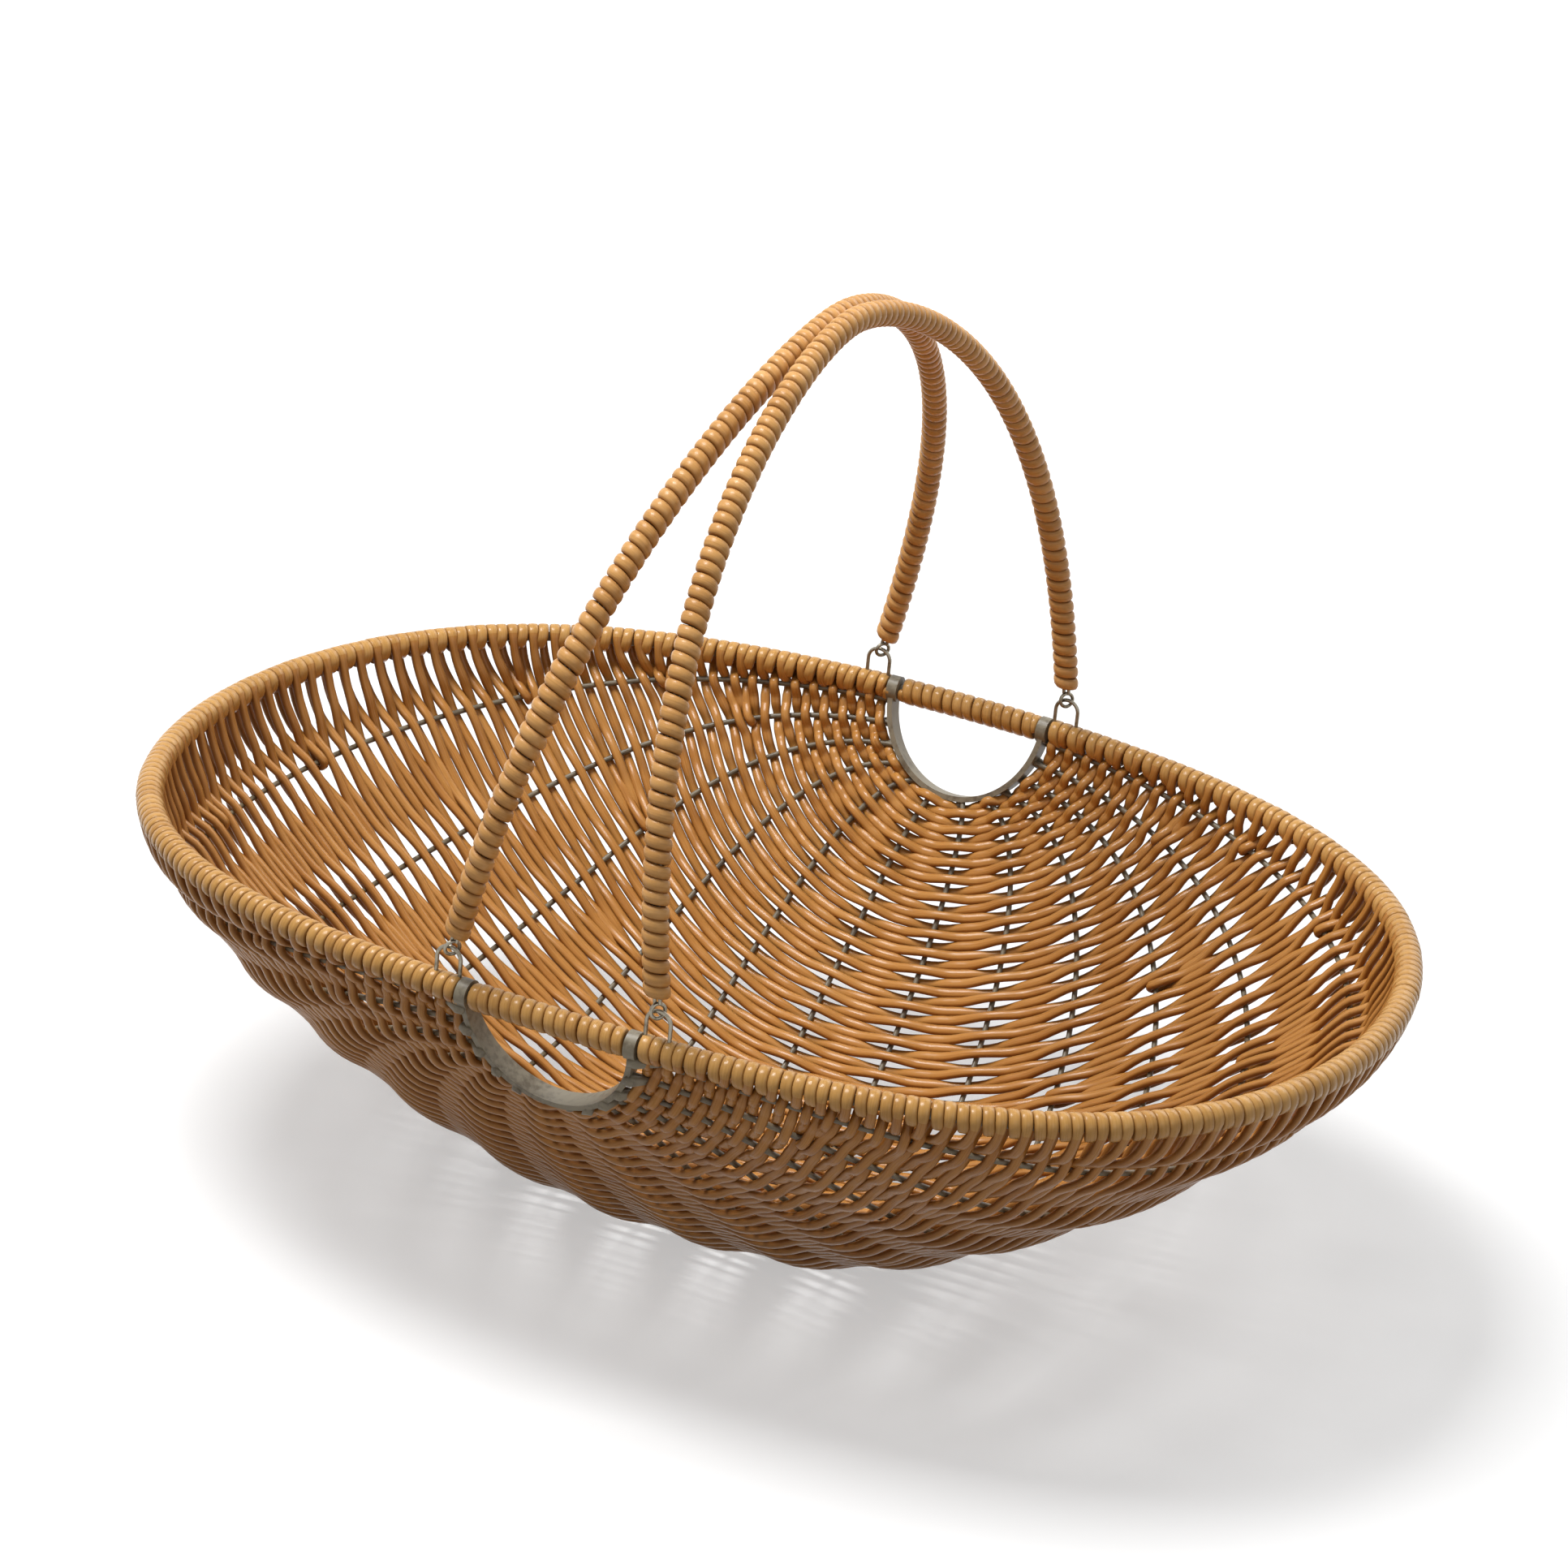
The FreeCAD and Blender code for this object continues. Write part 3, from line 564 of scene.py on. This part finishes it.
def row_path(row, turns):
    """Points, ups and half-widths of one row from its left end to its right end.
    turns gives, for a rim station, the middle of the row's turn and its own place there."""
    stations = list(range(row.first, row.last + 1))
    us = np.array([STATIONS[s] for s in stations])
    places = [turns[s][1] if s in turns else row.place[s] for s in stations]
    vs = np.array([float(LINES[s].v_at(place)) for s, place in zip(stations, places)])
    sides = np.array([row.outside(s) for s in stations], float)
    lift = np.array([RIM_WIND if s in (0, LAST) else RIB_WIND for s in stations])
    lift = lift + rng.normal(0, LIFT_SPREAD, len(lift))
    nodes = surface(us, vs)
    normals = outward_normal(us, vs)
    for index, s in enumerate(stations):
        if s in (0, LAST):
            normals[index] = rim_frames(1 if s else -1, turns[s][0])[2]
    points, ups, wides = [], [], []
    for k in range(len(stations) - 1):
        last = k == len(stations) - 2
        t = np.linspace(0, 1, SPAN_SAMPLES + 1)
        if not last:
            t = t[:-1]
        u = us[k] + (us[k + 1] - us[k]) * t
        middle_line = hermite(us, vs, u)
        v = middle_line
        for index, station, near in ((k, stations[k], 1 - t), (k + 1, stations[k + 1], t)):
            inner = station > row.first if index == k + 1 else station < row.last
            if row.pushed[station] and inner and (index == k) == (station <= RIB_COUNT // 2):
                unpushed = float(LINES[station].v_at(row.place[station] - row.pushed[station]))
                ramp = np.clip((near - PUSH_FROM) / (1 - PUSH_FROM), 0, 1)
                v = v - (vs[index] - unpushed) * (near - ramp ** 2 * (3 - 2 * ramp))
        chord = nodes[k] + (nodes[k + 1] - nodes[k]) * t[:, None]
        base = surface(u, v) + (surface(u, middle_line) - chord) * BULGE
        normal = unit(normals[k] * (1 - t[:, None]) + normals[k + 1] * t[:, None])
        if sides[k] == sides[k + 1]:
            away = sides[k] * (lift[k] * (1 - t) + lift[k + 1] * t)
        else:
            late, packed = t, PACKED
            if stations[k] == 0:
                late, packed = t ** RIM_DELAY, RIM_PACKED
            elif stations[k + 1] == LAST:
                late, packed = 1 - (1 - t) ** RIM_DELAY, RIM_PACKED
            swing = np.cos(math.pi * late)
            free = np.maximum(np.abs(swing) - packed, 0) / (1 - packed)
            size = lift[k] * (1 - t) + lift[k + 1] * t
            away = sides[k] * size * np.sign(swing) * free ** STEEP
        points.append(base + normal * away[:, None])
        ups.append(normal)
        ends = [EXIT_HALF_WIDTH if s in (0, LAST) else CROSSING_HALF_WIDTH
                for s in stations[k:k + 2]]
        crossing = ends[0] + (ends[1] - ends[0]) * t
        wides.append(crossing + (STRAND_HALF_WIDTH - crossing) * np.sin(math.pi * t) ** 2)
    return np.concatenate(points), np.concatenate(ups), np.concatenate(wides)


def weave_strand():
    """The whole weave as one strand: rows, windings on the rim and turns round ribs."""
    chain = make_rows()
    pitch = {}
    for s in (0, LAST):
        count = sum(1 for row in chain if row.first <= s <= row.last)
        pitch[s] = (LINES[s].length - 2 * RIM_ROW_END) / count
    turns = [dict() for _ in chain]
    joins = []
    for k in range(len(chain) - 1):
        to_right = k % 2 == 0
        if chain[k].last == LAST and to_right:
            station = LAST
        elif chain[k].first == 0 and not to_right:
            station = 0
        else:
            joins.append(("rib", chain[k].last if to_right else chain[k].first, None))
            continue
        middle = (chain[k].place[station] + chain[k + 1].place[station]) / 2
        turns[k][station] = (middle, middle - RIM_EXIT * pitch[station])
        turns[k + 1][station] = (middle, middle + RIM_EXIT * pitch[station])
        joins.append(("rim", station, middle))
    first, last = chain[0].place[0], chain[-1].place[0]
    turns[0][0] = (first, first + 0.05 * pitch[0])
    turns[-1][0] = (last, last - 0.05 * pitch[0])
    points, ups, wides, wound = [], [], [], []

    def add(path, wide, on_rim=0.0):
        points.append(path[0])
        ups.append(path[1])
        wides.append(np.broadcast_to(wide, len(path[0])))
        wound.append(np.full(len(path[0]), on_rim))

    # Both ends of the strand are tucked away on the left rim.
    add(rim_turn(-1, first - 0.5 * pitch[0], pitch[0], 200, 520), WOUND_HALF_WIDTH, 1.0)
    for k, row in enumerate(chain):
        p, n, wide = row_path(row, turns[k])
        if k % 2:
            p, n, wide = p[::-1], n[::-1], wide[::-1]
        add((p, n), wide)
        if k == len(chain) - 1:
            break
        kind, station, middle = joins[k]
        if kind == "rim":
            turn = rim_turn(1 if station else -1, middle, pitch[station],
                            RIM_STEP, TURN_END - RIM_STEP)
            add(turn, WOUND_HALF_WIDTH, 1.0)
        else:
            line = LINES[station]
            theta = np.radians(np.arange(25, 170, 25.0))[:, None]
            a, b = row.place[station], chain[k + 1].place[station]
            v = line.v_at(a + (b - a) * theta[:, 0] / math.pi)
            normal = outward_normal(line.u, v)
            inner = unit(surface(line.u, v) - surface(line.u + 0.01 * (1 if k % 2 else -1), v))
            radial = normal * row.outside(station) * np.cos(theta) + inner * np.sin(theta)
            add((surface(line.u, v) + radial * RIB_WIND, radial), CROSSING_HALF_WIDTH)
    add(rim_turn(-1, last + 0.5 * pitch[0], pitch[0], 20, 340), WOUND_HALF_WIDTH, 1.0)
    points = smoothed(np.concatenate(points))
    points[:, 2] = np.maximum(points[:, 2], STRAND_HALF_HEIGHT + 0.02)      # stays above the floor
    wides, wound = smoothed(np.concatenate(wides)), smoothed(np.concatenate(wound), 3)
    return points, np.concatenate(ups), wides, wound


points, ups, wides, wound = weave_strand()
at_ends = np.clip((np.abs(points[:, 0]) - ENDS_FROM) / ENDS_OVER, 0, 1)
powers = WEAVE_POWER + (RIM_POWER_MORE + END_POWER_MORE * at_ends) * wound
weave = strand_mesh("woven_bowl", [strand_rings(points, ups, wides, STRAND_HALF_HEIGHT, powers)],
                    WEAVE_STRAND, WOUND_STRAND_PAINTED_LIGHT, np.pad(wound, 2, mode="edge") > 0.5)
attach(weave, "basket")
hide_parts("weave", "rim_wrap_left", "rim_wrap_right")


# ------------------------------------------------------ ends of the ribs ----

def rib_end(u, sign):
    """A bead where a rib is welded to the strip: it hooks over the strip's outer edge."""
    v = sign * BEAD_V
    normal = outward_normal(u, v)
    points = surface(u, v) + normal * BEAD_LIFT[:, None]
    points = smoothed(np.concatenate([points[:1] - normal[:1] * BEAD_HOOK, points]))
    ups = np.tile(np.cross(normal[0], points[0] - points[-1]), (len(points), 1))
    return strand_rings(points, ups, BEAD_RADIUS, BEAD_RADIUS, ROUND_POWER)


for name, sign in (("front", -1), ("back", 1)):
    beads = [rib_end(rib_share(k), sign) for k in range(1, RIB_COUNT + 1)]
    ends = strand_mesh("rib_ends_" + name, beads, FRAME_PAINT)
    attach(ends, "basket")


# --------------------------------------------------- windings elsewhere ----

def winding(centres, across, pitch, radius, half_width, step=24.0, hand=1):
    """A strand wound round a curve, a little unevenly. across is a direction square to the
    curve all along; radius may differ from point to point; hand -1 winds the other way."""
    travel = travelled(centres)
    total = travel[-1] - 2 * half_width
    turns = round(total / pitch)
    spin = np.arange(-180, (turns * 360) + 181, step)
    uneven = 0.12 * np.sin(spin * 0.013) + 0.10 * np.sin(spin * 0.0071 + 1.3)
    where = half_width + np.clip(spin / (turns * 360), 0, 1) * total + uneven

    def there(values):
        return np.stack([np.interp(where, travel, values[:, k]) for k in range(3)], 1)

    tangent = unit(there(np.gradient(centres, axis=0)))
    first = unit(there(across))
    second = np.cross(tangent, first) * hand
    angle = np.radians(spin)[:, None]
    radial = first * np.cos(angle) + second * np.sin(angle)
    inward = np.clip((-spin / 180), 0, 1) + np.clip((spin - turns * 360) / 180, 0, 1)
    radius = np.interp(where, travel, np.broadcast_to(radius, len(travel)))
    size = radius - WINDING_TUCK * inward
    return there(centres) + radial * size[:, None], radial


def bar_winding(sign):
    x = np.linspace(-BAR_HALF_LENGTH, BAR_HALF_LENGTH, 121)
    angle = np.arccos(x / RIM_HALF_LENGTH)
    centres = rim_point(angle)
    centres[:, 1] *= sign
    across = np.tile([0, sign * 1.0, 0], (len(x), 1))
    return winding(centres, across, BAR_PITCH, BAR_WIND, WOUND_HALF_WIDTH)


for name, sign in (("front", -1), ("back", 1)):
    p, n = bar_winding(sign)
    rings = strand_rings(p, n, WOUND_HALF_WIDTH, STRAND_HALF_HEIGHT, BAR_POWER)
    bar = strand_mesh("bar_winding_" + name, [rings], WOUND_STRAND_PAINTED_LIGHT)
    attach(bar, "basket")
    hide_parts("bar_wrap_" + name)


def handle_line(crown_y, samples=161):
    """The upright handle's centreline, from the front end of its winding to the back one."""
    t = np.linspace(0, 1, samples)[:, None]
    rise = HANDLE_LENGTH - WRAP_START
    halves = []
    for sign in (-1, 1):
        foot = np.array([0, sign * FOOT_Y, WRAP_START])
        above = foot + [0, 0, LEG_REACH * rise]
        crown = np.array([0, crown_y, HANDLE_LENGTH])
        beside = crown + [0, sign * CROWN_REACH, 0]
        curve = (foot * (1 - t) ** 3 + above * 3 * (1 - t) ** 2 * t
                 + beside * 3 * (1 - t) * t ** 2 + crown * t ** 3)
        halves.append(curve if sign < 0 else curve[::-1][1:])
    return np.concatenate(halves)


def placed(points, side, lean, vectors=False):
    """The upright handle's points leaned inwards on its hinge."""
    a = math.radians(-side * lean)
    x = points[:, 0] * math.cos(a) + points[:, 2] * math.sin(a)
    z = points[:, 2] * math.cos(a) - points[:, 0] * math.sin(a)
    moved = np.stack([x, points[:, 1], z], 1)
    return moved if vectors else moved + [side * FOOT_X, 0, HINGE_Z]


for name, (side, lean, crown_y) in HANDLES.items():
    line = handle_line(crown_y)
    across = np.tile([1.0, 0, 0], (len(line), 1))
    radius = np.full(len(line), HANDLE_WIND)
    if name == "left":
        inside = DOUBLED_HALF - np.abs(travelled(line) - DOUBLED_MIDDLE)
        radius += DOUBLED_MORE * np.clip(inside / DOUBLED_RAMP, 0, 1)
    p, n = winding(line, across, HANDLE_PITCH, radius, HANDLE_END, HANDLE_STEP, hand=-1)
    p, n = placed(p, side, lean), placed(n, side, lean, True)
    rings = strand_rings(p, n, HANDLE_STRAND_HALF_WIDTH, HANDLE_STRAND_HALF_HEIGHT, HANDLE_POWER)
    wrap = strand_mesh("handle_winding_" + name, [rings], HANDLE_STRAND)
    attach(wrap, "handle_" + name)
    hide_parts("handle_%s_wrap" % name)


# --------------------------------------------------- finish of CAD nodes ----

for name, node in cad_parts.items():
    if name.startswith(("staple", "handle")):
        material = HINGE_WIRE
    elif name.startswith("rib_"):
        material = RIB_PAINT_SHADED
    else:
        material = FRAME_PAINT
    node.data.materials.clear()
    node.data.materials.append(material)


# ------------------------------------- floor, light (in metres), camera ----

FLOOR_HALF_SIZE = 7.0
FLOOR_DIFFUSE = (0.60, 0.60, 0.60, 1)       # as the camera sees it
FLOOR_BOUNCE = (0.32, 0.285, 0.24, 1)       # for the light that it gives back to the basket
FLOOR_GLOW, FAR_FLOOR_GLOW = 0.46, 0.98     # the lamps reach the far floor less
GLOW_FROM, GLOW_TO = 0.45, 1.5              # distance from the origin
WHITE = (1.0, 1.0, 1.0, 1)
WORLD_FILL = 0.20

# Lamps: place, height of the point that they face, width, height and power
LAMPS = {"key_light": ((-0.75, -0.2, 2.1), 0.1, 0.8, 0.8, 47),
         "fill_light": ((1.7, -1.3, 1.3), 0.1, 1.4, 1.4, 5),
         "back_light": ((0.4, 1.9, 1.5), 0.12, 1.6, 0.9, 12)}


def floor_material():
    """White where it is lit, keeps the shadow, and can't be seen from below."""
    n = Nodes(bpy.data.materials.new("floor_white"))
    away = n.add("ShaderNodeVectorMath", {0: n.add("ShaderNodeTexCoord").outputs["Object"]},
                 operation="LENGTH").outputs["Value"]
    strength = n.add("ShaderNodeMapRange",
                     {0: away, 1: GLOW_FROM, 2: GLOW_TO, 3: FLOOR_GLOW, 4: FAR_FLOOR_GLOW},
                     interpolation_type="SMOOTHSTEP").outputs[0]
    glow = n.add("ShaderNodeEmission", {"Color": WHITE, "Strength": strength}).outputs[0]
    seen = n.add("ShaderNodeBsdfDiffuse", {"Color": FLOOR_DIFFUSE}).outputs[0]
    bright = n.add("ShaderNodeAddShader", {0: seen, 1: glow}).outputs[0]
    bounce = n.add("ShaderNodeBsdfDiffuse", {"Color": FLOOR_BOUNCE}).outputs[0]
    above = n.mixed_shader(n.seen_directly(), bounce, bright)
    under = n.add("ShaderNodeNewGeometry").outputs["Backfacing"]
    clear = n.add("ShaderNodeBsdfTransparent").outputs[0]
    n.add("ShaderNodeOutputMaterial", {0: n.mixed_shader(under, above, clear)})
    return n.owner


def make_floor():
    size = FLOOR_HALF_SIZE
    corners = [(-size, -size, 0), (size, -size, 0), (size, size, 0), (-size, size, 0)]
    mesh = bpy.data.meshes.new("floor")
    mesh.from_pydata(corners, [], [(0, 1, 2, 3)])
    mesh.materials.append(floor_material())
    floor = bpy.data.objects.new("floor", mesh)
    bpy.context.scene.collection.objects.link(floor)


def make_world():
    n = Nodes(bpy.data.worlds.new("studio"))
    bpy.context.scene.world = n.owner
    fill = n.add("ShaderNodeBackground", {0: WHITE, 1: WORLD_FILL}).outputs[0]
    white = n.add("ShaderNodeBackground", {0: WHITE, 1: 1.0}).outputs[0]
    n.add("ShaderNodeOutputWorld", {0: n.mixed_shader(n.seen_directly(), fill, white)})


def softbox(name, place, aim, width, height, power):
    data = bpy.data.lights.new(name, "AREA")
    data.shape = "RECTANGLE"
    data.size, data.size_y = width, height
    data.energy = power
    lamp = bpy.data.objects.new(name, data)
    bpy.context.scene.collection.objects.link(lamp)
    lamp.location = place
    facing = Vector((0, 0, aim)) - Vector(place)
    lamp.rotation_euler = facing.to_track_quat("-Z", "Y").to_euler()


# The photo's camera, as fitted to the rim and the handles
CAMERA_AZIMUTH = math.radians(24.3357)
CAMERA_ELEVATION = math.radians(23.5486)
CAMERA_ROLL = math.radians(5.8522)
CAMERA_DISTANCE = 1873.679
CAMERA_OFFSET = (1.3285, 6.5875)            # sideways and upwards in the picture
CAMERA_TARGET = np.array([0, 0, 150.0])
FOCAL_PIXELS, FRAME_PIXELS = 6659.233, 1932
SENSOR_WIDTH = 36.0


def make_camera():
    a, e, r = CAMERA_AZIMUTH, CAMERA_ELEVATION, CAMERA_ROLL
    back = np.array([math.sin(a) * math.cos(e), -math.cos(a) * math.cos(e), math.sin(e)])
    level = np.array([math.cos(a), math.sin(a), 0])
    up = np.cross(back, level)
    right = math.cos(r) * level + math.sin(r) * up
    top = -math.sin(r) * level + math.cos(r) * up
    place = (CAMERA_TARGET + right * CAMERA_OFFSET[0] + top * CAMERA_OFFSET[1]
             + back * CAMERA_DISTANCE)
    data = bpy.data.cameras.new("camera")
    data.sensor_width = SENSOR_WIDTH
    data.lens = SENSOR_WIDTH * FOCAL_PIXELS / FRAME_PIXELS
    data.clip_end = 50
    camera = bpy.data.objects.new("camera", data)
    bpy.context.scene.collection.objects.link(camera)
    matrix = Matrix.Identity(4)
    for row in range(3):
        matrix[row][0], matrix[row][1], matrix[row][2] = right[row], top[row], back[row]
        matrix[row][3] = place[row] * MM
    camera.matrix_world = matrix
    bpy.context.scene.camera = camera


make_floor()
make_world()
for name, lamp in LAMPS.items():
    softbox(name, *lamp)
make_camera()
bpy.context.scene.view_settings.view_transform = "Standard"
